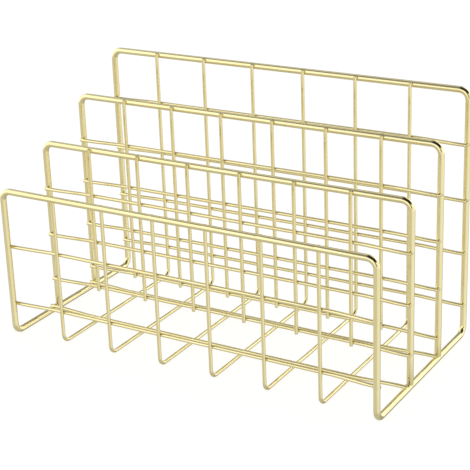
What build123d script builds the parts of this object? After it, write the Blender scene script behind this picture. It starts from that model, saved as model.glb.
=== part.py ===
"""Desk mail sorter of welded wire: four stepped panels on an open wire base, with three slots for letters.

Frame: +X to the right, +Y to the back, +Z up. The origin is on the table, under the middle of the frame.
Every length is in millimetres.
"""

import os
from collections import namedtuple
from math import atan2, tan

from build123d import *

# Wire stock
heavy_diameter = 4.7
thin_diameter = 2.7

# Frame, between the heavy wire's centre lines
frame_width = 300.0
front_slot_depth = 53.0
middle_slot_depth = 48.0
back_slot_depth = 47.5

# Panel heights, from the base rails' centre line to the top rail's centre line
front_height = 113.5
front_divider_height = 134.5
rear_divider_height = 159.0
back_height = 184.5

# Bends, at the wire's centre line
top_corner_radius = 7.0
base_bend_radius = 7.0
thin_bend_radius = 6.0

# Welds: how far one wire is pressed into the other
thin_on_heavy_sink = 0.45
thin_on_thin_sink = 0.55
base_wire_sink = 0.9
foot_sink = 0.9

# Wire ends and small clearances
front_tip_rise = 0.9
bar_tip_rise = 1.9
bar_tail_drop = 2.2
cross_wire_overhang = 1.1
base_run_clearance = 0.4
front_base_wire_gap = 4.0
rear_base_wire_gap = 0.0

# Grid: columns across the width, and each panel's level wires as shares of its height
column_count = 7
front_row_shares = (0.201, 0.604)
front_divider_row_shares = (0.184, 0.458, 0.735)
rear_divider_row_shares = (0.107, 0.340, 0.566, 0.779)
back_row_shares = (0.125, 0.345, 0.564, 0.789)

# Step near each end of a level wire, as shares of one column from the upright
step_start_share = 0.2
step_stop_share = 0.8
step_bend_share = 0.1

# Sizes that follow
heavy_radius = heavy_diameter / 2
thin_radius = thin_diameter / 2
half_width = frame_width / 2
frame_depth = front_slot_depth + middle_slot_depth + back_slot_depth
front_y = -frame_depth / 2
front_divider_y = front_y + front_slot_depth
rear_divider_y = front_divider_y + middle_slot_depth
back_y = frame_depth / 2
column = frame_width / column_count
bar_places = [column * index - half_width for index in range(1, column_count)]
heavy_step = heavy_radius + thin_radius - thin_on_heavy_sink
thin_step = thin_diameter - thin_on_thin_sink
rail_z = heavy_radius
base_run_z = base_run_clearance + thin_radius

# Panels: side is where the thin wires lie on the heavy wire, 1 for behind it and -1 for in front of it
Panel = namedtuple("Panel", "name y height row_shares side")
front_panel = Panel("front", front_y, front_height, front_row_shares, 1)
front_divider = Panel("front_divider", front_divider_y, front_divider_height, front_divider_row_shares, -1)
rear_divider = Panel("rear_divider", rear_divider_y, rear_divider_height, rear_divider_row_shares, -1)
back_panel = Panel("back", back_y, back_height, back_row_shares, -1)


def save(piece, name):
    """Labels a finished wire and writes it to its own file."""
    piece.part.label = name
    export_step(piece.part, f"parts/{name}.step")


def top_z(panel):
    """Height of the panel's top rail, at its centre line."""
    return rail_z + panel.height


def bar_y(panel):
    """Depth of the panel's thin uprights, which are welded to the face of its top rail."""
    return panel.y + panel.side * heavy_step


def stepped_route(left, right, end_level, middle_level):
    """Points of a level wire that steps from its welds on the uprights over to the bars, with the bends' radius."""
    start = half_width - step_start_share * column
    stop = half_width - step_stop_share * column
    turn = atan2(abs(end_level - middle_level), start - stop)
    points = [
        (left, end_level),
        (-start, end_level),
        (-stop, middle_level),
        (stop, middle_level),
        (start, end_level),
        (right, end_level),
    ]
    return points, step_bend_share * column / tan(turn / 2)


def stepped_wire(name, plane, left, right, end_level, middle_level, neighbours):
    """Makes a level wire with a saddle wherever it is welded to a neighbour."""
    points, radius = stepped_route(left, right, end_level, middle_level)
    with BuildPart() as wire:
        with BuildLine(plane) as route:
            FilletPolyline(*points, radius=radius)
        with BuildSketch(Plane(origin=route.line @ 0, z_dir=route.line % 0)):
            Circle(thin_radius)
        sweep(path=route.line)
        add([neighbour.part for neighbour in neighbours], mode=Mode.SUBTRACT)
    save(wire, name)
    return wire


def divider_frame(panel):
    """Makes a divider's heavy hoop, whose feet are let into the tops of the base rails."""
    foot_z = rail_z + heavy_radius - foot_sink
    with BuildPart() as hoop:
        with BuildLine(Plane.XZ.offset(-panel.y)) as route:
            FilletPolyline(
                (-half_width, foot_z),
                (-half_width, top_z(panel)),
                (half_width, top_z(panel)),
                (half_width, foot_z),
                radius=top_corner_radius,
            )
        with BuildSketch(Plane(origin=route.line @ 0, z_dir=route.line % 0)):
            Circle(heavy_radius)
        sweep(path=route.line)
        add(outer_loop.part, mode=Mode.SUBTRACT)
    save(hoop, f"{panel.name}_frame")
    return hoop


def divider_bars(panel, frame):
    """Makes a divider's straight thin uprights, from below its lowest level wire to the top rail."""
    tail_z = rail_z + panel.row_shares[0] * panel.height - bar_tail_drop
    bars = []
    for index, place in enumerate(bar_places, 1):
        with BuildPart() as bar:
            with BuildSketch(Plane((place, bar_y(panel), tail_z))):
                Circle(thin_radius)
            extrude(amount=top_z(panel) + bar_tip_rise - tail_z)
            add(frame.part, mode=Mode.SUBTRACT)
        save(bar, f"{panel.name}_bar_{index}")
        bars.append(bar)
    return bars


def panel_cross_wires(panel, frame, bars):
    """Makes a panel's level wires, whose ends lie on the uprights and whose middles lie behind the bars."""
    end = half_width + cross_wire_overhang
    end_level = bar_y(panel)
    middle_level = end_level + thin_step
    for index, share in enumerate(panel.row_shares, 1):
        plane = Plane.XY.offset(rail_z + share * panel.height)
        name = f"{panel.name}_cross_wire_{index}"
        stepped_wire(name, plane, -end, end, end_level, middle_level, [frame, *bars])


def base_wire(name, panel, gap, neighbours):
    """Makes the level wire across the base in front of a divider's feet, on the rails and the base runs."""
    left = -half_width - heavy_radius
    right = half_width + cross_wire_overhang
    end_level = rail_z + heavy_radius + thin_radius - base_wire_sink
    plane = Plane.XZ.offset(gap - bar_y(panel))
    stepped_wire(name, plane, left, right, end_level, base_run_z + thin_step, neighbours)


os.makedirs("parts", exist_ok=True)

# Outer loop: one half from the middle of the front rail to the middle of the back rail, and its mirror image
with BuildPart() as outer_loop:
    with BuildLine() as loop_route:
        FilletPolyline(
            (0, front_y, top_z(front_panel)),
            (half_width, front_y, top_z(front_panel)),
            (half_width, front_y, rail_z),
            (half_width, back_y, rail_z),
            (half_width, back_y, top_z(back_panel)),
            (0, back_y, top_z(back_panel)),
            radius=(top_corner_radius, base_bend_radius, base_bend_radius, top_corner_radius),
        )
    with BuildSketch(Plane(origin=loop_route.line @ 0, z_dir=loop_route.line % 0)):
        Circle(heavy_radius)
    sweep(path=loop_route.line)
    mirror(about=Plane.YZ)
save(outer_loop, "outer_loop")

# Thin wires bent to a U, inside the loop
u_wires = []
for number, x in enumerate(bar_places, 1):
    with BuildPart() as u_wire:
        with BuildLine(Plane.YZ.offset(x)) as u_route:
            FilletPolyline(
                (bar_y(front_panel), top_z(front_panel) + front_tip_rise),
                (bar_y(front_panel), base_run_z),
                (bar_y(back_panel), base_run_z),
                (bar_y(back_panel), top_z(back_panel) + bar_tip_rise),
                radius=thin_bend_radius,
            )
        with BuildSketch(Plane(origin=u_route.line @ 0, z_dir=u_route.line % 0)):
            Circle(thin_radius)
        sweep(path=u_route.line)
        add(outer_loop.part, mode=Mode.SUBTRACT)
    save(u_wire, f"u_wire_{number}")
    u_wires.append(u_wire)

# The two dividers, front one first
front_frame = divider_frame(front_divider)
front_bars = divider_bars(front_divider, front_frame)
rear_frame = divider_frame(rear_divider)
rear_bars = divider_bars(rear_divider, rear_frame)

# Level wires of the four panels
panel_cross_wires(front_panel, outer_loop, u_wires)
panel_cross_wires(front_divider, front_frame, front_bars)
panel_cross_wires(rear_divider, rear_frame, rear_bars)
panel_cross_wires(back_panel, outer_loop, u_wires)

# Level wires across the base
base_wire("front_base_wire", front_divider, front_base_wire_gap, [outer_loop, front_frame, *u_wires])
base_wire("rear_base_wire", rear_divider, rear_base_wire_gap, [outer_loop, rear_frame, *u_wires])
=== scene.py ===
"""Dresses the welded-wire mail sorter: smooth plated wires with their welds, a pale floor and soft studio light.

Frame: +X to the right, +Y to the back, +Z up, in metres. The origin is on the table, under the middle of the frame.
"""

import logging
import math
import random
from dataclasses import dataclass, field
from enum import Enum
from typing import Iterable, Optional, Sequence, Union

import bmesh
import bpy
from mathutils import Matrix, Vector


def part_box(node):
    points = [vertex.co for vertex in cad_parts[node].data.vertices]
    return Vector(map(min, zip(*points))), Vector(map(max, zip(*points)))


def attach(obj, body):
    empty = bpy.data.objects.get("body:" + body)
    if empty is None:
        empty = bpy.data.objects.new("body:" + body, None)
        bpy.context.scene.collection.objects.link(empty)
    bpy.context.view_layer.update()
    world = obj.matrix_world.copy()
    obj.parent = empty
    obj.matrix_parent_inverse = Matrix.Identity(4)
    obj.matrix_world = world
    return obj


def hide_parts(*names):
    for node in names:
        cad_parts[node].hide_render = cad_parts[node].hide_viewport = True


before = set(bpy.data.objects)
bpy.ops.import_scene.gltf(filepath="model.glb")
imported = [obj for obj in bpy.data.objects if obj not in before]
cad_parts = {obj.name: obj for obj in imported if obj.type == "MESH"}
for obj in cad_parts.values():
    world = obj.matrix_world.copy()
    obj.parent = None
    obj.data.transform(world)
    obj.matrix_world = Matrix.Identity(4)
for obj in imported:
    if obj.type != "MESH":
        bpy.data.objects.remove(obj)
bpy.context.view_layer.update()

log = logging.getLogger("mail_sorter")

RIGHT = Vector((1.0, 0.0, 0.0))
BACK = Vector((0.0, 1.0, 0.0))
UP = Vector((0.0, 0.0, 1.0))
QUARTER = math.pi / 2
MILLIMETRES = 1000.0
BODY = "root"
STRAIGHT = "straight"
TINT = "tint"
BOX_LOW, BOX_HIGH = 0, 6
NOISE_MEAN = 0.5
SEED = 11

Colour = tuple[float, float, float]
Band = tuple[float, float]
Operand = Union["Value", float]


class Value:
    """A number's socket in a shader tree, so that shader maths reads as an expression."""

    def __init__(self, shader: "ShaderTree", socket: bpy.types.NodeSocket) -> None:
        """Wraps an output socket of the given tree."""
        self.shader = shader
        self.socket = socket

    def _math(self, operation: str, first: Operand, second: Operand) -> "Value":
        """Adds a Math node.

        Args:
            operation: the node's operation.
            first: its first operand.
            second: its second operand.

        Returns:
            The node's result.
        """
        inputs = {"Value": first, "Value_001": second}
        return self.shader.node("ShaderNodeMath", {"operation": operation}, inputs)

    def __add__(self, other: Operand) -> "Value":
        """Sum."""
        return self._math("ADD", self, other)

    def __radd__(self, other: Operand) -> "Value":
        """Sum, with the value on the right."""
        return self._math("ADD", other, self)

    def __sub__(self, other: Operand) -> "Value":
        """Difference."""
        return self._math("SUBTRACT", self, other)

    def __rsub__(self, other: Operand) -> "Value":
        """Difference, with the value on the right."""
        return self._math("SUBTRACT", other, self)

    def __mul__(self, other: Operand) -> "Value":
        """Product."""
        return self._math("MULTIPLY", self, other)

    def __rmul__(self, other: Operand) -> "Value":
        """Product, with the value on the right."""
        return self._math("MULTIPLY", other, self)

    def smooth(self, low: float, high: float) -> "Value":
        """Soft step.

        Args:
            low: where the step starts, at zero.
            high: where it ends, at one.

        Returns:
            The step's value, from zero to one.
        """
        settings = {"interpolation_type": "SMOOTHSTEP"}
        inputs = {"Value": self, "From Min": low, "From Max": high}
        return self.shader.node("ShaderNodeMapRange", settings, inputs)

    def other(self, name: str) -> "Value":
        """Another output of the same node, by its name."""
        return Value(self.shader, self.socket.node.outputs[name])


class ShaderTree:
    """A shader tree under construction."""

    def __init__(self, tree: bpy.types.NodeTree) -> None:
        """Empties the tree that it will fill."""
        self.tree = tree
        tree.nodes.clear()

    def node(
        self,
        kind: str,
        settings: Optional[dict] = None,
        inputs: Optional[dict] = None,
        output: Union[str, int] = 0,
    ) -> Value:
        """Adds a node.

        Args:
            kind: the node's type.
            settings: its properties, set before its sockets.
            inputs: values, or other nodes' results, by socket name or identifier.
            output: name or number of the output that is wanted.

        Returns:
            That output.
        """
        made = self.tree.nodes.new(kind)
        for key, value in (settings or {}).items():
            setattr(made, key, value)
        for key, value in (inputs or {}).items():
            socket = next(
                item for item in made.inputs if item.identifier == key or item.name == key and item.enabled
            )
            if isinstance(value, Value):
                self.tree.links.new(value.socket, socket)
            else:
                socket.default_value = value
        return Value(self, made.outputs[output] if made.outputs else None)

    def mix(self, factor: Operand, first: Union[Value, Colour], second: Union[Value, Colour]) -> Value:
        """Mixes two colours.

        Args:
            factor: share of the second colour.
            first: colour at zero.
            second: colour at one.

        Returns:
            The mixed colour.
        """
        first, second = (item if isinstance(item, Value) else (*item, 1.0) for item in (first, second))
        inputs = {"Factor_Float": factor, "A_Color": first, "B_Color": second}
        return self.node("ShaderNodeMix", {"data_type": "RGBA"}, inputs, "Result")

    def stretch(self, vector: Value, scales: Sequence[float]) -> Value:
        """Scales a vector along its three axes.

        Args:
            vector: the vector.
            scales: its scales.

        Returns:
            The scaled vector.
        """
        inputs = {"Vector": vector, "Vector_001": scales}
        return self.node("ShaderNodeVectorMath", {"operation": "MULTIPLY"}, inputs)

    def facing(self, vector: Value, towards: Vector) -> Value:
        """How far a vector points a given way.

        Args:
            vector: the vector, of unit length.
            towards: the direction.

        Returns:
            The cosine between the two.
        """
        inputs = {"Vector": vector, "Vector_001": tuple(towards.normalized())}
        return self.node("ShaderNodeVectorMath", {"operation": "DOT_PRODUCT"}, inputs, "Value")


def new_material(name: str) -> tuple[bpy.types.Material, ShaderTree]:
    """Makes a material whose shader is still empty.

    Args:
        name: the material's name.

    Returns:
        The material and its shader tree.
    """
    made = bpy.data.materials.new(name)
    made.use_nodes = True
    return made, ShaderTree(made.node_tree)


def link_object(name: str, data: bpy.types.ID) -> bpy.types.Object:
    """Puts an object into the scene.

    Args:
        name: the object's name.
        data: its mesh or its camera.

    Returns:
        The object.
    """
    made = bpy.data.objects.new(name, data)
    bpy.context.scene.collection.objects.link(made)
    return made


@dataclass(frozen=True)
class PlatedWireFinish:
    """Polished pale gold plating on drawn wire, with dark marks at the welds: heat tint, and painted shade where
    the wires meet.

    The noises' cycles are per metre, along the wire and across it.
    """

    name: str
    pale: Colour = (0.91, 0.815, 0.46)
    warm: Colour = (0.89, 0.775, 0.405)
    scorched_and_shaded: Colour = (0.26, 0.19, 0.08)
    polish: float = 0.13
    drift_cycles: Sequence[float] = (14.0, 160.0, 160.0)
    line_cycles: Sequence[float] = (60.0, 3600.0, 3600.0)
    peel_cycles: Sequence[float] = (900.0, 900.0, 900.0)
    octaves: float = 2.0
    peel_octaves: float = 1.0
    octave_gain: float = 0.5
    warm_band: Band = (0.35, 0.75)
    least_weld_mark: float = 0.55
    peel_weld_mark: float = 0.9
    weld_mark_band: Band = (0.12, 0.95)
    gloss_swing: float = 0.05
    weld_mark_dulling: float = 0.22
    relief: float = 0.6
    peel_relief: float = 0.6
    drawn_line_height: float = 6e-6

    def material(self) -> bpy.types.Material:
        """Makes the material.

        Returns:
            A material that reads the straightened wire's place and the welds' marks, heat tint and painted contact
            shade, from the mesh.
        """
        made, shader = new_material(self.name)
        place = shader.node("ShaderNodeAttribute", {"attribute_name": STRAIGHT}, output="Vector")
        heat = shader.node("ShaderNodeAttribute", {"attribute_name": TINT}, output="Fac")
        drift = self._noise(shader, place, self.drift_cycles, self.octaves)
        lines = self._noise(shader, place, self.line_cycles, self.octaves)
        peel = self._noise(shader, place, self.peel_cycles, self.peel_octaves)
        tone = shader.mix(drift.smooth(*self.warm_band), self.pale, self.warm)
        # The weld mark darkens the colour: real heat tint, and painted shade in the crevices where wires meet.
        scorch_and_shade = (heat * (self.least_weld_mark + self.peel_weld_mark * peel)).smooth(*self.weld_mark_band)
        gloss = self.polish + self.gloss_swing * (lines - NOISE_MEAN) + self.gloss_swing * (drift - NOISE_MEAN)
        bump = {
            "Strength": self.relief,
            "Distance": self.drawn_line_height,
            "Height": lines + self.peel_relief * peel,
        }
        inputs = {
            "Base Color": shader.mix(scorch_and_shade, tone, self.scorched_and_shaded),
            "Metallic": 1.0,
            "Roughness": gloss + self.weld_mark_dulling * scorch_and_shade,
            "Normal": shader.node("ShaderNodeBump", inputs=bump),
        }
        surface = shader.node("ShaderNodeBsdfPrincipled", inputs=inputs)
        shader.node("ShaderNodeOutputMaterial", inputs={"Surface": surface})
        return made

    def _noise(self, shader: ShaderTree, place: Value, scales: Sequence[float], detail: float) -> Value:
        """Noise in the straightened wire.

        Args:
            shader: the tree to add it to.
            place: position in the straightened wire.
            scales: cycles per metre along the wire and across it.
            detail: octaves.

        Returns:
            The noise's value.
        """
        inputs = {
            "Vector": shader.stretch(place, scales),
            "Scale": 1.0,
            "Detail": detail,
            "Roughness": self.octave_gain,
        }
        return shader.node("ShaderNodeTexNoise", {"noise_dimensions": "3D"}, inputs, "Fac")


@dataclass(frozen=True)
class FloorFinish:
    """Matt white sheet, lit from below as on a light table, with a faint unevenness."""

    name: str = "white_sheet"
    light: Colour = (0.50, 0.50, 0.50)
    shade: Colour = (0.48, 0.48, 0.48)
    underlight: float = 0.78
    roughness: float = 0.9
    mottle_scale: float = 6.0
    mottle_octaves: float = 4.0

    def material(self) -> bpy.types.Material:
        """Makes the material.

        Returns:
            A diffuse, faintly glowing material with a mottle.
        """
        made, shader = new_material(self.name)
        place = shader.node("ShaderNodeTexCoord", output="Object")
        noise = {"Vector": place, "Scale": self.mottle_scale, "Detail": self.mottle_octaves}
        mottle = shader.node("ShaderNodeTexNoise", inputs=noise, output="Fac")
        inputs = {
            "Base Color": shader.mix(mottle, self.light, self.shade),
            "Roughness": self.roughness,
            "Specular IOR Level": 0.0,
            "Emission Strength": self.underlight,
        }
        surface = shader.node("ShaderNodeBsdfPrincipled", inputs=inputs)
        shader.node("ShaderNodeOutputMaterial", inputs={"Surface": surface})
        return made


class Lay(Enum):
    """The face of a panel's heavy wire that its thin wires lie on."""

    FRONT = -1
    BEHIND = 1


@dataclass(frozen=True)
class Gauge:
    """Round wire stock: its slot, its radius, the sides of its mesh and the rounding of its cut ends."""

    slot: str
    radius: float
    sides: int
    rim: float


@dataclass(frozen=True)
class Crossing:
    """A weld to another wire, at that wire's centre line.

    Of the two wires, the one that is laid on last carries the squeezed metal.
    """

    point: Vector
    squeezed: bool = False


@dataclass(frozen=True)
class Panel:
    """One upright grid: its place, its height over the rails' centre line and its level wires' heights."""

    name: str
    y: float
    height: float
    row_shares: tuple[float, ...]
    lay: Lay


@dataclass(frozen=True)
class SorterSizes:
    """Sizes that the sub-assemblies share, at the wires' centre lines. Those of a step are shares of a column."""

    heavy: Gauge = Gauge("heavy_wire", radius=0.00235, sides=32, rim=0.0006)
    thin: Gauge = Gauge("thin_wire", radius=0.00135, sides=24, rim=0.0004)
    half_width: float = 0.150
    front: Panel = Panel("front", -0.07425, 0.1135, (0.201, 0.604), Lay.BEHIND)
    front_divider: Panel = Panel("front_divider", -0.02125, 0.1345, (0.184, 0.458, 0.735), Lay.FRONT)
    rear_divider: Panel = Panel("rear_divider", 0.02675, 0.159, (0.107, 0.340, 0.566, 0.779), Lay.FRONT)
    back: Panel = Panel("back", 0.07425, 0.1845, (0.125, 0.345, 0.564, 0.789), Lay.FRONT)
    columns: int = 7
    top_bend: float = 0.007
    base_bend: float = 0.007
    thin_bend: float = 0.006
    heavy_sink: float = 0.00045
    thin_sink: float = 0.00055
    base_wire_sink: float = 0.0009
    foot_sink: float = 0.0009
    front_tip_rise: float = 0.0009
    tip_rise: float = 0.0019
    tail_drop: float = 0.0022
    overhang: float = 0.0011
    run_clearance: float = 0.0004
    front_base_gap: float = 0.004
    step_start: float = 0.2
    step_stop: float = 0.8
    step_bend: float = 0.1

    @property
    def column(self) -> float:
        """Width of one column of the grid."""
        return 2 * self.half_width / self.columns

    @property
    def bars(self) -> list[float]:
        """Places of the thin uprights across the width."""
        return [self.column * index - self.half_width for index in range(1, self.columns)]

    @property
    def uprights(self) -> tuple[float, float]:
        """Places of the heavy uprights across the width."""
        return (-self.half_width, self.half_width)

    @property
    def heavy_step(self) -> float:
        """From a heavy wire's centre line to that of a thin wire welded on it."""
        return self.heavy.radius + self.thin.radius - self.heavy_sink

    @property
    def thin_step(self) -> float:
        """From a thin wire's centre line to that of a thin wire welded on it."""
        return 2 * self.thin.radius - self.thin_sink

    @property
    def rail_z(self) -> float:
        """Height of the base rails."""
        return self.heavy.radius

    @property
    def run_z(self) -> float:
        """Height of the thin wires' base runs."""
        return self.run_clearance + self.thin.radius

    def top(self, panel: Panel) -> float:
        """Height of a panel's top rail."""
        return self.rail_z + panel.height

    def bar_y(self, panel: Panel) -> float:
        """Depth of a panel's thin uprights and of its level wires' ends."""
        return panel.y + panel.lay.value * self.heavy_step

    def level_y(self, panel: Panel) -> float:
        """Depth of the middle of a panel's level wires, behind its thin uprights."""
        return self.bar_y(panel) + self.thin_step

    def rows(self, panel: Panel) -> list[float]:
        """Heights of a panel's level wires."""
        return [self.rail_z + share * panel.height for share in panel.row_shares]


@dataclass(frozen=True)
class Drop:
    """A flat drop of weld metal, darkened by painted crevice shade and heat tint."""

    contact: Vector
    normal: Vector
    radius: float
    rise: float
    heat: float

    def place(self) -> Matrix:
        """Shapes the drop.

        Returns:
            The matrix that makes it of a unit ball.
        """
        turn = self.normal.to_track_quat("Z", "Y").to_matrix().to_4x4()
        shape = Matrix.Diagonal((self.radius, self.radius, self.rise, 1.0))
        return Matrix.Translation(self.contact) @ turn @ shape


class WireBender:
    """Draws out one round wire from its first end, with its bends and welds."""

    # Rings round a weld, how near to a run's ends they may lie, and how many radii off a weld may be
    SQUEEZE = (-0.0024, -0.0016, -0.0008, 0.0, 0.0008, 0.0016, 0.0024)
    END_MARGIN = 0.0007
    WELD_REACH = 3.0

    # Weld marks, heat tint plus painted shade that is strongest on the side toward the other wire, and the dent of
    # the welding tongs on the side away from the weld
    HEAT_BAND = (0.1, 0.7)
    FAR_HEAT = 0.15
    DENT = 0.00007
    DENT_START = 0.3

    # Squeezed metal, in radii of this wire and of the other one, and its darkening: painted crevice shade plus the
    # weld's heat tint
    NUGGET_SPREAD = 0.95
    NUGGET_REACH = 0.12
    NUGGET_RISE = 0.36
    DROP_SHADE = 0.2
    DROP_HEAT = 0.5
    DROP_FINENESS = 2

    RIM_SEGMENTS = 3

    def __init__(
        self,
        gauge: Gauge,
        start: Vector,
        heading: Vector,
        chance: random.Random,
        closed: bool = False,
    ) -> None:
        """Makes the first ring.

        Args:
            gauge: the wire stock.
            start: centre of the first end.
            heading: direction in which the wire leaves it.
            chance: draws for the welds' heat marks.
            closed: whether the ends are butted together.
        """
        self.gauge = gauge
        self.centre = start.copy()
        self.heading = heading.copy()
        self.chance = chance
        self.closed = closed
        self.along = 0.0
        self.moves: list[tuple[bmesh.types.BMVert, Vector]] = []
        self.drops: list[Drop] = []
        self.mesh = bmesh.new()
        self.straight = self.mesh.verts.layers.float_vector.new(STRAIGHT)
        self.tint = self.mesh.verts.layers.float.new(TINT)
        turn = heading.to_track_quat("Z", "Y").to_matrix()
        made = bmesh.ops.create_circle(
            self.mesh,
            cap_ends=not closed,
            segments=gauge.sides,
            radius=gauge.radius,
            matrix=Matrix.Translation(start) @ turn.to_4x4(),
        )
        self.ring = made["verts"]
        for vert in self.ring:
            across = turn.transposed() @ (vert.co - start)
            vert[self.straight] = Vector((0.0, across.x, across.y))
        self.first = self._rim()

    def _rim(self) -> list[bmesh.types.BMEdge]:
        """The edges round the newest ring."""
        ring = set(self.ring)
        return list(dict.fromkeys(e for v in self.ring for e in v.link_edges if e.other_vert(v) in ring))

    def _settle(self, items: Iterable, distance: float) -> None:
        """Takes over a new ring.

        Args:
            items: the geometry that an operator returned.
            distance: how far the ring is from the last one, along the wire.
        """
        self.ring = [item for item in items if isinstance(item, bmesh.types.BMVert)]
        self.along += distance
        for vert in self.ring:
            old = vert[self.straight]
            vert[self.straight] = Vector((self.along, old.y, old.z))
            vert[self.tint] = 0.0

    def _advance(self, distance: float) -> None:
        """Draws the wire straight on.

        Args:
            distance: how far.
        """
        made = bmesh.ops.extrude_edge_only(self.mesh, edges=self._rim())
        self._settle(made["geom"], distance)
        bmesh.ops.translate(self.mesh, verts=self.ring, vec=self.heading * distance)
        self.centre = self.centre + self.heading * distance

    def run(self, length: float, crossings: Sequence[Crossing] = ()) -> None:
        """Draws a straight run and presses its welds.

        Args:
            length: the run's length.
            crossings: the wire's welds, of which those beside this run are used.
        """
        start, heading = self.centre.copy(), self.heading.copy()
        welds = []
        for crossing in crossings:
            offset = crossing.point - start
            at = offset.dot(heading)
            side = offset - heading * at
            if 0.0 <= at <= length and side.length < self.WELD_REACH * self.gauge.radius:
                welds.append((at, side, self.chance.uniform(*self.HEAT_BAND), crossing.squeezed))
        rings = {at + offset for at, _, _, _ in welds for offset in self.SQUEEZE}
        stops = {ring for ring in rings if self.END_MARGIN < ring < length - self.END_MARGIN} | {length}
        done = 0.0
        for stop in sorted(stops):
            self._advance(stop - done)
            done = stop
            for at, side, heat, _ in welds:
                self._press(abs(done - at) / self.SQUEEZE[-1], side.normalized(), heat)
        for at, side, heat, squeezed in welds:
            if squeezed:
                self._nugget(start + heading * at, side, heat)

    def _press(self, reach: float, side: Vector, heat: float) -> None:
        """Flattens the newest ring a little and marks its heat tint and painted contact shade, near a weld.

        Args:
            reach: distance from the weld, one where it no longer counts.
            side: direction of the other wire.
            heat: strength of the weld's mark, heat tint and painted contact shade.
        """
        if reach >= 1.0:
            return
        fall = (1.0 - reach * reach) ** 2
        for vert in self.ring:
            outward = (vert.co - self.centre).normalized()
            facing = outward.dot(side)
            away = max(0.0, -facing - self.DENT_START) / (1.0 - self.DENT_START)
            # Painted shade: the side facing the other wire darkens most, and the far side keeps only a little heat
            # tint.
            heat_and_contact_shade = self.FAR_HEAT + (1.0 - self.FAR_HEAT) * (1.0 + facing) / 2
            vert[self.tint] = max(vert[self.tint], heat * fall * heat_and_contact_shade)
            self.moves.append((vert, outward * (-self.DENT * fall * away)))

    def _nugget(self, point: Vector, side: Vector, heat: float) -> None:
        """Adds the metal squeezed out round a weld.

        Args:
            point: the weld's place on this wire's centre line.
            side: offset of the other wire's centre line.
            heat: strength of the weld's mark, heat tint and painted contact shade.
        """
        other = side.length - self.gauge.radius
        contact = point + side.normalized() * self.gauge.radius
        radius = self.NUGGET_SPREAD * self.gauge.radius + self.NUGGET_REACH * other
        self.drops.append(Drop(contact, side, radius, self.NUGGET_RISE * self.gauge.radius, heat))

    def _add_drops(self) -> None:
        """Adds the squeezed metal to the mesh, once the wire itself is closed."""
        for drop in self.drops:
            made = bmesh.ops.create_icosphere(
                self.mesh,
                subdivisions=self.DROP_FINENESS,
                radius=1.0,
                matrix=drop.place(),
            )
            straight = self.mesh.verts.layers.float_vector[STRAIGHT]
            tint = self.mesh.verts.layers.float[TINT]
            for vert in made["verts"]:
                vert[straight] = vert.co.copy()
                # Painted crevice shade on every drop, plus its weld's heat tint
                vert[tint] = self.DROP_SHADE + self.DROP_HEAT * drop.heat

    def bend(self, axis: Vector, angle: float, radius: float, steps: int) -> None:
        """Bends the wire.

        Args:
            axis: axis of the bend, by the right-hand rule.
            angle: how far it turns.
            radius: the bend's radius, at the wire's centre line.
            steps: rings along the bend.
        """
        pivot = self.centre + axis.cross(self.heading) * radius
        turn = Matrix.Rotation(angle / steps, 3, axis)
        for _ in range(steps):
            made = bmesh.ops.spin(
                self.mesh,
                geom=self.ring + self._rim(),
                cent=pivot,
                axis=axis,
                angle=angle / steps,
                steps=1,
                use_merge=False,
                use_normal_flip=False,
                use_duplicate=False,
            )
            self._settle(made["geom_last"], radius * angle / steps)
            self.centre = pivot + turn @ (self.centre - pivot)
            self.heading = turn @ self.heading

    def finish(self) -> bmesh.types.BMesh:
        """Closes the wire.

        Returns:
            The finished mesh, with rounded rims on cut ends.
        """
        last = self._rim()
        for vert, move in self.moves:
            vert.co += move
        if self.closed:
            bmesh.ops.bridge_loops(self.mesh, edges=self.first + last)
        else:
            bmesh.ops.edgeloop_fill(self.mesh, edges=last)
            bmesh.ops.bevel(
                self.mesh,
                geom=self.first + last,
                offset=self.gauge.rim,
                offset_type="OFFSET",
                segments=self.RIM_SEGMENTS,
                profile=0.5,
                affect="EDGES",
                material=-1,
            )
        self._add_drops()
        bmesh.ops.recalc_face_normals(self.mesh, faces=self.mesh.faces)
        return self.mesh


@dataclass
class WireGroup:
    """A sub-assembly of wires: builds each wire's mesh and dresses it."""

    sizes: SorterSizes
    finishes: dict[str, bpy.types.Material]
    chance: random.Random
    bend_steps: int = 14

    def start(self, gauge: Gauge, start: Sequence[float], heading: Vector, closed: bool = False) -> WireBender:
        """Starts a wire at a point, in a direction."""
        return WireBender(gauge, Vector(start), heading, self.chance, closed)

    def dress(self, wire: WireBender, node: str) -> bpy.types.Object:
        """Makes a finished wire into the piece that stands for a solid.

        Args:
            wire: the wire.
            node: the solid's name.

        Returns:
            The piece.
        """
        mesh = bpy.data.meshes.new(f"{node}_wire")
        made = wire.finish()
        made.to_mesh(mesh)
        made.free()
        mesh.shade_smooth()
        mesh.materials.append(self.finishes[wire.gauge.slot])
        piece = link_object(f"{node}_wire", mesh)
        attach(piece, BODY)
        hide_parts(node)
        low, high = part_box(node)
        lowest, highest = (Vector(piece.bound_box[corner]) for corner in (BOX_LOW, BOX_HIGH))
        gap = max((lowest - low).length, (highest - high).length) * MILLIMETRES
        log.info("%s: %d faces, corners within %.2f mm of the solid's", piece.name, len(mesh.polygons), gap)
        return piece


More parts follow.
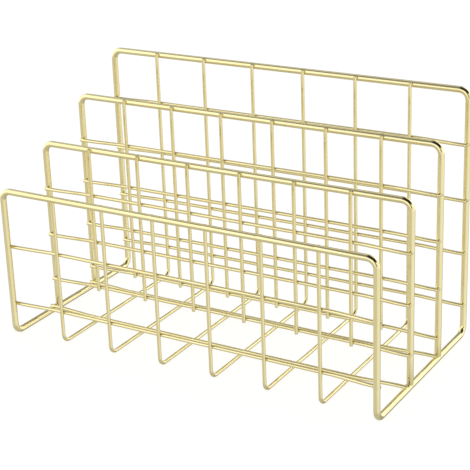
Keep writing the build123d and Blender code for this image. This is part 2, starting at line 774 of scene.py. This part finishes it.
@dataclass
class OuterLoop(WireGroup):
    """The heavy closed loop: front hoop, side rails and back hoop in one wire, butted on the front left upright."""

    seam_height: float = 0.039
    seam_land: float = 0.0002
    seam_run: float = 0.0012
    seam_depth: float = 0.00003
    seam_heat: float = 0.9

    def build(self) -> None:
        """Builds the loop from its seam, up and round to the right."""
        s = self.sizes
        crossings = self._crossings()
        wire = self.start(s.heavy, (-s.half_width, s.front.y, self.seam_height + self.seam_land), UP, True)
        self._groove(wire)
        wire.run(self.seam_run)
        top = 2 * (s.half_width - s.top_bend)
        rail = s.back.y - s.front.y - 2 * s.base_bend
        front_leg, back_leg = (
            s.top(panel) - s.top_bend - s.rail_z - s.base_bend for panel in (s.front, s.back)
        )
        stretches = (
            (s.top(s.front) - s.top_bend - wire.centre.z, BACK, s.top_bend),
            (top, BACK, s.top_bend),
            (front_leg, RIGHT, s.base_bend),
            (rail, RIGHT, s.base_bend),
            (back_leg, -BACK, s.top_bend),
            (top, -BACK, s.top_bend),
            (back_leg, -RIGHT, s.base_bend),
            (rail, -RIGHT, s.base_bend),
        )
        for length, axis, radius in stretches:
            wire.run(length, crossings)
            wire.bend(axis, QUARTER, radius, self.bend_steps)
        wire.run(self.seam_height - self.seam_run - wire.centre.z, crossings)
        wire.run(self.seam_run - self.seam_land)
        self._groove(wire)
        self.dress(wire, "outer_loop")

    def _groove(self, wire: WireBender) -> None:
        """Sinks the newest ring a little for the butt weld, and scorches its outer side.

        Args:
            wire: the loop, at its seam.
        """
        for vert in wire.ring:
            outward = (vert.co - wire.centre).normalized()
            vert[wire.tint] = self.seam_heat * max(0.0, -outward.dot(RIGHT)) ** 2
            wire.moves.append((vert, outward * -self.seam_depth))

    def _crossings(self) -> list[Crossing]:
        """Welds of the thin wires and the dividers' feet on the loop.

        Returns:
            Their places.
        """
        s = self.sizes
        found = []
        for panel in (s.front, s.back):
            found += [Crossing(Vector((x, s.bar_y(panel), s.top(panel)))) for x in s.bars]
            found += [Crossing(Vector((x, s.bar_y(panel), z))) for x in s.uprights for z in s.rows(panel)]
        for panel in (s.front_divider, s.rear_divider):
            found += [Crossing(Vector((x, panel.y, s.rail_z + s.heavy.radius))) for x in s.uprights]
        return found


@dataclass
class UWires(WireGroup):
    """The thin wires bent to a U: front upright, base run and back upright in one piece."""

    def build(self) -> None:
        """Builds each U from its front tip."""
        s = self.sizes
        for number, x in enumerate(s.bars, 1):
            crossings = self._crossings(x)
            tip = s.top(s.front) + s.front_tip_rise
            wire = self.start(s.thin, (x, s.bar_y(s.front), tip), -UP)
            wire.run(tip - s.run_z - s.thin_bend, crossings)
            wire.bend(RIGHT, QUARTER, s.thin_bend, self.bend_steps)
            wire.run(s.bar_y(s.back) - s.bar_y(s.front) - 2 * s.thin_bend, crossings)
            wire.bend(RIGHT, QUARTER, s.thin_bend, self.bend_steps)
            wire.run(s.top(s.back) + s.tip_rise - s.run_z - s.thin_bend, crossings)
            self.dress(wire, f"u_wire_{number}")

    def _crossings(self, x: float) -> list[Crossing]:
        """Welds of one U wire.

        Args:
            x: its place across the width.

        Returns:
            The places of its welds.
        """
        s = self.sizes
        found = []
        for panel in (s.front, s.back):
            found.append(Crossing(Vector((x, panel.y, s.top(panel))), True))
            found += [Crossing(Vector((x, s.level_y(panel), z))) for z in s.rows(panel)]
        for y in BaseWires.depths(s):
            found.append(Crossing(Vector((x, y, s.run_z + s.thin_step))))
        return found


@dataclass
class LevelWires(WireGroup):
    """The thin level wires of a panel, whose ends lie on the uprights and whose middles lie behind the bars."""

    panel: Optional[Panel] = None
    step_rings: int = 4

    def build(self) -> None:
        """Builds each level wire from left to right."""
        s = self.sizes
        end = s.half_width + s.overhang
        for index, z in enumerate(s.rows(self.panel), 1):
            crossings = [Crossing(Vector((x, self.panel.y, z)), True) for x in s.uprights]
            crossings += [Crossing(Vector((x, s.bar_y(self.panel), z)), True) for x in s.bars]
            wire = self.start(s.thin, (-end, s.bar_y(self.panel), z), RIGHT)
            self.stepped(wire, BACK, s.thin_step, end, crossings)
            self.dress(wire, f"{self.panel.name}_cross_wire_{index}")

    def stepped(
        self,
        wire: WireBender,
        aside: Vector,
        shift: float,
        right: float,
        crossings: list[Crossing],
    ) -> None:
        """Draws a level wire that steps aside between its ends.

        Args:
            wire: the wire, at its left end.
            aside: direction of the step.
            shift: the step's size.
            right: place of the right end.
            crossings: the wire's welds.
        """
        s = self.sizes
        begin = s.half_width - s.step_start * s.column
        stop = s.half_width - s.step_stop * s.column
        turn = math.atan2(shift, begin - stop)
        tangent = s.step_bend * s.column
        radius = tangent / math.tan(turn / 2)
        slope = (begin - stop) / math.cos(turn) - 2 * tangent
        axis = RIGHT.cross(aside)
        wire.run(-begin - tangent - wire.centre.x, crossings)
        wire.bend(axis, turn, radius, self.step_rings)
        wire.run(slope)
        wire.bend(-axis, turn, radius, self.step_rings)
        wire.run(2 * (stop - tangent), crossings)
        wire.bend(-axis, turn, radius, self.step_rings)
        wire.run(slope)
        wire.bend(axis, turn, radius, self.step_rings)
        wire.run(right - wire.centre.x, crossings)


@dataclass
class BaseWires(LevelWires):
    """The two thin level wires across the base, on the side rails and the base runs."""

    @staticmethod
    def depths(s: SorterSizes) -> tuple[float, float]:
        """Depths of the front and the rear base wire."""
        return (s.bar_y(s.front_divider) - s.front_base_gap, s.bar_y(s.rear_divider))

    def build(self) -> None:
        """Builds both wires from left to right."""
        s = self.sizes
        left = -s.half_width - s.heavy.radius
        right = s.half_width + s.overhang
        end_z = s.rail_z + s.heavy.radius + s.thin.radius - s.base_wire_sink
        middle_z = s.run_z + s.thin_step
        for name, y in zip(("front_base_wire", "rear_base_wire"), self.depths(s)):
            crossings = [Crossing(Vector((x, y, s.rail_z)), True) for x in s.uprights]
            crossings += [Crossing(Vector((x, y, s.run_z)), True) for x in s.bars]
            wire = self.start(s.thin, (left, y, end_z), RIGHT)
            self.stepped(wire, -UP, end_z - middle_z, right, crossings)
            self.dress(wire, name)


@dataclass
class Divider(LevelWires):
    """A divider: heavy hoop on the side rails, thin bars and level wires.

    The weld metal round its feet is given in radii of the heavy wire, or of the bead itself for offset and rise,
    and the bead's sink as a share of the foot's.
    """

    bead_spread: float = 0.9
    bead_offset: float = 0.4
    bead_rise: float = 0.35
    bead_sink: float = 1 / 3
    bead_heat: float = 0.2
    joint_spread: float = 0.8
    joint_rise: float = 0.45
    # The joint drop's darkening is painted shade of the gap between the base wire's end and the foot.
    joint_shade: float = 0.6

    def build(self) -> None:
        """Builds the hoop, the bars and the level wires."""
        self._hoop()
        self._bars()
        super().build()

    def _hoop(self) -> None:
        """Builds the hoop from its left foot, with the weld metal round both feet."""
        s, panel = self.sizes, self.panel
        foot = s.rail_z + s.heavy.radius - s.foot_sink
        crossings = [Crossing(Vector((x, s.bar_y(panel), s.top(panel)))) for x in s.bars]
        crossings += [Crossing(Vector((x, s.bar_y(panel), z))) for x in s.uprights for z in s.rows(panel)]
        wire = self.start(s.heavy, (-s.half_width, panel.y, foot), UP)
        wire.run(s.top(panel) - s.top_bend - foot, crossings)
        wire.bend(BACK, QUARTER, s.top_bend, self.bend_steps)
        wire.run(2 * (s.half_width - s.top_bend), crossings)
        wire.bend(BACK, QUARTER, s.top_bend, self.bend_steps)
        wire.run(s.top(panel) - s.top_bend - foot, crossings)
        wire.drops += self._foot_metal()
        self.dress(wire, f"{panel.name}_frame")

    def _foot_metal(self) -> list[Drop]:
        """Weld metal round each foot, and between it and the nearest base wire, where the joint's darkening is
        painted shade of the gap.

        Returns:
            The drops of both feet.
        """
        s, panel = self.sizes, self.panel
        radius = s.heavy.radius
        rail_top = s.rail_z + radius
        bead = self.bead_spread * radius
        base_y = min(BaseWires.depths(s), key=lambda y: abs(y - panel.y))
        between = (panel.y - radius + base_y + s.thin.radius) / 2
        found = []
        for x in s.uprights:
            joint = Vector((x, between, rail_top))
            found.append(Drop(joint, UP, self.joint_spread * radius, self.joint_rise * radius, self.joint_shade))
            foot = Vector((x, panel.y, rail_top - self.bead_sink * s.foot_sink))
            for aside in (-BACK, BACK):
                contact = foot + self.bead_offset * bead * aside
                found.append(Drop(contact, UP, bead, self.bead_rise * bead, self.bead_heat))
        return found

    def _bars(self) -> None:
        """Builds the straight thin bars from below the lowest level wire to the top rail."""
        s, panel = self.sizes, self.panel
        tail = s.rows(panel)[0] - s.tail_drop
        for number, x in enumerate(s.bars, 1):
            crossings = [Crossing(Vector((x, panel.y, s.top(panel))), True)]
            crossings += [Crossing(Vector((x, s.level_y(panel), z))) for z in s.rows(panel)]
            wire = self.start(s.thin, (x, s.bar_y(panel), tail), UP)
            wire.run(s.top(panel) + s.tip_rise - tail, crossings)
            self.dress(wire, f"{panel.name}_bar_{number}")


@dataclass(frozen=True)
class Patch:
    """A soft-edged round patch of the light dome, with the cosines of its outer and its inner edge."""

    towards: tuple[float, float, float]
    outer: float
    inner: float
    glow: float

    def share(self, shader: ShaderTree, way: Value) -> Value:
        """How much of the patch is seen in a direction of the dome."""
        return shader.facing(way, Vector(self.towards)).smooth(self.outer, self.inner)


@dataclass(frozen=True)
class Studio:
    """White floor and a soft light dome with darker parts, as polished wire reflects them.

    Each band is a soft edge: where along the dome's width, depth or height it starts and where it ends.
    """

    floor_half: float = 6.0
    fill: float = 0.50
    backdrop: float = 1.0
    left_box: Patch = Patch((-0.938, -0.335, 0.088), 0.64, 0.69, 1.32)
    front_box: Patch = Patch((-0.664, -0.748, 0.0), 0.38, 0.43, 1.22)
    dark_corner: Patch = Patch((-0.46, 0.82, 0.33), 0.925, 0.955, 0.30)
    under_shade: Patch = Patch((0.25, 0.72, -0.65), 0.89, 0.955, 0.42)
    right_box: float = 1.12
    back_box: float = 1.52
    back_wall: float = 0.52
    front_wall: float = 0.10
    left_ceiling: float = 0.28
    right_ceiling: float = 0.015
    back_ceiling: float = 0.80
    back_right_ceiling: float = 0.22
    floor_glow: float = 0.69
    right_floor_glow: float = 0.96
    steep_floor_glow: float = 0.58
    right_floor_band: Band = (0.15, 0.75)
    steep_floor_band: Band = (0.42, 0.72)
    back_wall_band: Band = (-0.5, 0.0)
    right_ceiling_band: Band = (-0.40, -0.12)
    back_right_ceiling_band: Band = (-0.36, -0.16)
    back_ceiling_band: Band = (0.1, 0.35)
    back_ceiling_end_band: Band = (0.3, 0.5)
    ceiling_band: Band = (0.45, 0.58)
    horizon_band: Band = (-0.06, 0.02)
    box_foot_band: Band = (-0.20, -0.10)
    box_top_band: Band = (0.48, 0.57)
    right_box_band: Band = (0.42, 0.56)
    right_box_depth_band: Band = (-0.70, -0.40)
    back_box_band: Band = (-0.24, -0.10)
    back_box_depth_band: Band = (0.55, 0.70)
    back_box_top_band: Band = (0.60, 0.68)

    def build(self) -> None:
        """Lays the floor and lights the scene."""
        self._floor()
        self._dome()
        bpy.context.scene.view_settings.view_transform = "Standard"

    def _floor(self) -> None:
        """Lays the floor at the table's height, hidden from reflections, which see the dome's own floor."""
        mesh = bpy.data.meshes.new("floor")
        made = bmesh.new()
        bmesh.ops.create_grid(made, x_segments=1, y_segments=1, size=self.floor_half)
        made.to_mesh(mesh)
        made.free()
        mesh.materials.append(FloorFinish().material())
        floor = link_object("floor", mesh)
        floor.visible_glossy = False

    @staticmethod
    def _over(under: Operand, value: Operand, share: Value) -> Value:
        """Lays one brightness over another.

        Args:
            under: brightness where the share is zero.
            value: brightness where it is one.
            share: how much of the second is seen.

        Returns:
            The brightness of both.
        """
        return share * value + (1.0 - share) * under

    def _dome(self) -> None:
        """Sets the world: an even fill, a white backdrop for the camera, and what the wires reflect."""
        world = bpy.data.worlds.new("studio")
        world.use_nodes = True
        bpy.context.scene.world = world
        shader = ShaderTree(world.node_tree)
        direct = shader.node("ShaderNodeLightPath", output="Is Camera Ray")
        glossy = shader.node("ShaderNodeLightPath", output="Is Glossy Ray")
        plain = self._over(self.fill, self.backdrop, direct)
        strength = self._over(plain, self._reflected(shader), glossy)
        inputs = {"Color": (1.0, 1.0, 1.0, 1.0), "Strength": strength}
        surface = shader.node("ShaderNodeBackground", inputs=inputs)
        shader.node("ShaderNodeOutputWorld", inputs={"Surface": surface})

    def _reflected(self, shader: ShaderTree) -> Value:
        """The softboxes, walls, ceiling and floor that the wires reflect.

        Args:
            shader: the world's tree.

        Returns:
            Their brightness.
        """
        way = shader.node("ShaderNodeTexCoord", output="Generated")
        split = shader.node("ShaderNodeSeparateXYZ", inputs={"Vector": way})
        across, depth, height = (split.other(axis) for axis in "XYZ")
        floor = self._over(self.floor_glow, self.right_floor_glow, across.smooth(*self.right_floor_band))
        floor = self._over(floor, self.steep_floor_glow, (0.0 - height).smooth(*self.steep_floor_band))
        floor = self._over(floor, self.under_shade.glow, self.under_shade.share(shader, way))
        wall = self._over(self.front_wall, self.back_wall, depth.smooth(*self.back_wall_band))
        right = across.smooth(*self.right_ceiling_band)
        ceiling = self._over(self.left_ceiling, self.right_ceiling, right)
        right = across.smooth(*self.back_right_ceiling_band)
        behind = self._over(self.back_ceiling, self.back_right_ceiling, right)
        reach = depth.smooth(*self.back_ceiling_band) * (1.0 - across.smooth(*self.back_ceiling_end_band))
        ceiling = self._over(ceiling, behind, reach)
        seen = self._over(wall, ceiling, height.smooth(*self.ceiling_band))
        seen = self._over(floor, seen, height.smooth(*self.horizon_band))
        raised = height.smooth(*self.box_foot_band)
        low = raised * (1.0 - height.smooth(*self.box_top_band))
        reach = low * across.smooth(*self.right_box_band) * depth.smooth(*self.right_box_depth_band)
        seen = self._over(seen, self.right_box, reach)
        far = raised * depth.smooth(*self.back_box_depth_band)
        far = far * (1.0 - height.smooth(*self.back_box_top_band))
        seen = self._over(seen, self.back_box, far * across.smooth(*self.back_box_band))
        for patch, reach in ((self.dark_corner, raised), (self.front_box, low), (self.left_box, raised)):
            seen = self._over(seen, patch.glow, patch.share(shader, way) * reach)
        return seen


@dataclass(frozen=True)
class PhotoCamera:
    """The photograph's viewpoint, with a little lens shift, because its frame lies below the optical axis."""

    aim: Vector = field(default_factory=lambda: Vector((0.0007, 0.00277, 0.0977)))
    azimuth: float = math.radians(31.383)
    elevation: float = math.radians(20.45)
    roll: float = math.radians(-2.106)
    distance: float = 1.00433
    lens: float = 106.15
    sensor: float = 36.0
    lens_shift: float = -0.05
    clip: Band = (0.01, 50.0)

    def build(self) -> None:
        """Places the camera and makes it the scene's own."""
        data = bpy.data.cameras.new("photo_camera")
        data.lens = self.lens
        data.sensor_width = self.sensor
        data.shift_y = self.lens_shift
        data.clip_start, data.clip_end = self.clip
        camera = link_object("photo_camera", data)
        back = Vector((
            math.sin(self.azimuth) * math.cos(self.elevation),
            -math.cos(self.azimuth) * math.cos(self.elevation),
            math.sin(self.elevation),
        ))
        turn = back.to_track_quat("Z", "Y").to_matrix().to_4x4()
        place = Matrix.Translation(self.aim + back * self.distance)
        camera.matrix_world = place @ turn @ Matrix.Rotation(self.roll, 4, "Z")
        bpy.context.scene.camera = camera


def main() -> None:
    """Builds the sorter's sub-assemblies in order, then the studio and the camera."""
    logging.basicConfig(level=logging.INFO, format="%(message)s")
    sizes = SorterSizes()
    heavy = PlatedWireFinish("heavy_wire_plating")
    thin = PlatedWireFinish("thin_wire_plating", polish=0.15, drawn_line_height=4e-6)
    finishes = {sizes.heavy.slot: heavy.material(), sizes.thin.slot: thin.material()}
    shared = (sizes, finishes, random.Random(SEED))
    OuterLoop(*shared).build()
    UWires(*shared).build()
    Divider(*shared, panel=sizes.front_divider).build()
    Divider(*shared, panel=sizes.rear_divider).build()
    LevelWires(*shared, panel=sizes.front).build()
    LevelWires(*shared, panel=sizes.back).build()
    BaseWires(*shared).build()
    Studio().build()
    PhotoCamera().build()


if __name__ == "__main__":
    main()
